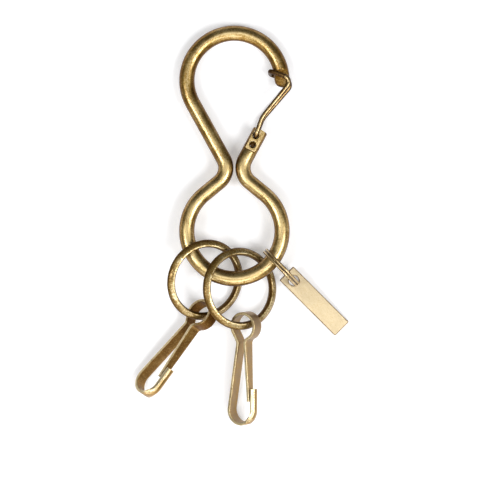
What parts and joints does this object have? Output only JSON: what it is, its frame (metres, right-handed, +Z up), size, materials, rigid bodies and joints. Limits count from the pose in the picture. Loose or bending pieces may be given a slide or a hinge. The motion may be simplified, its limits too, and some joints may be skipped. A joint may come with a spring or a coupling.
{
  "type": "key hook with rings, spring clips and tag",
  "caption": "Double-looped rod hook with a sprung wire gate, interlinked key rings with strip spring clips, and a blank tag on a split ring.",
  "frame": {"origin": "on the table, under the middle of the whole thing as it lies", "axes": "+Z up from the table, +Y along the hook from its rings towards its hook loop, +X across it towards the gate's side"},
  "size_m": [0.0696, 0.1304, 0.0157],
  "materials": {
    "rod_brass": "satin, fine pits, darkened with age",
    "wire_brass": "drawn, semi-bright, dark patina",
    "ring_brass": "satin, olive-brown patina",
    "strip_brass": "satin faces with brighter cut edges",
    "tag_brass": "pale satin, finely brushed, no marking"
  },
  "bodies": {
    "hook": {"hook_frame": "rod_brass", "gate_spring_end": "wire_brass"},
    "gate": {"wire_gate": "wire_brass"},
    "ring_left": {"key_ring_left": "ring_brass"},
    "ring_right": {"key_ring_right": "ring_brass"},
    "clip_left": {"spring_clip_left": "strip_brass"},
    "tongue_left": {"clip_tongue_left": "strip_brass"},
    "clip_right": {"spring_clip_right": "strip_brass"},
    "tongue_right": {"clip_tongue_right": "strip_brass"},
    "split_ring": {"tag_split_ring": "wire_brass"},
    "tag": {"tag_plate": "tag_brass"}
  },
  "joints": [
    {"name": "gate_swing", "type": "hinge", "parent": "hook", "child": "gate", "pos_m": [0.00452, 0.02906, 0.00471], "axis": [0, 0.06, 0.9982], "range_deg": [0, 35], "stiffness_Nm_per_rad": 0.03, "springref_deg": -8.59},
    {"name": "ring_flip_left", "type": "hinge", "parent": "hook", "child": "ring_left", "pos_m": [-0.01196, -0.01779, 0.00692], "axis": [0.5135, 0.8565, -0.0515], "range_deg": [0, 45]},
    {"name": "ring_flip_right", "type": "hinge", "parent": "hook", "child": "ring_right", "pos_m": [-0.0007, -0.02064, 0.0075], "axis": [-0.0921, 0.9956, 0.0182], "range_deg": [0, 35]},
    {"name": "clip_swing_left", "type": "hinge", "parent": "ring_left", "child": "clip_left", "pos_m": [-0.01293, -0.02913, 0.00494], "axis": [-0.9092, 0.0041, 0.4164], "range_deg": [-60, 90]},
    {"name": "clip_swing_right", "type": "hinge", "parent": "ring_right", "child": "clip_right", "pos_m": [0.00129, -0.03281, 0.00683], "axis": [-0.8738, -0.168, 0.4563], "range_deg": [-60, 90]},
    {"name": "tongue_flex_left", "type": "hinge", "parent": "clip_left", "child": "tongue_left", "pos_m": [-0.01579, -0.03406, 0.00562], "axis": [0.5529, -0.4208, -0.7192], "range_deg": [0, 10], "stiffness_Nm_per_rad": 0.25, "springref_deg": -2.86},
    {"name": "tongue_flex_right", "type": "hinge", "parent": "clip_right", "child": "tongue_right", "pos_m": [0.00197, -0.03852, 0.00687], "axis": [0.5446, 0.0581, -0.8367], "range_deg": [0, 10], "stiffness_Nm_per_rad": 0.25, "springref_deg": -2.86},
    {"name": "split_ring_swing", "type": "hinge", "parent": "hook", "child": "split_ring", "pos_m": [0.01013, -0.01091, 0.00711], "axis": [-0.5848, -0.8097, 0.0486], "range_deg": [0, 90]},
    {"name": "tag_swing", "type": "hinge", "parent": "split_ring", "child": "tag", "pos_m": [0.0169, -0.01804, 0.0035], "axis": [-0.7252, -0.6885, 0], "range_deg": [-75, 20]}
  ]
}
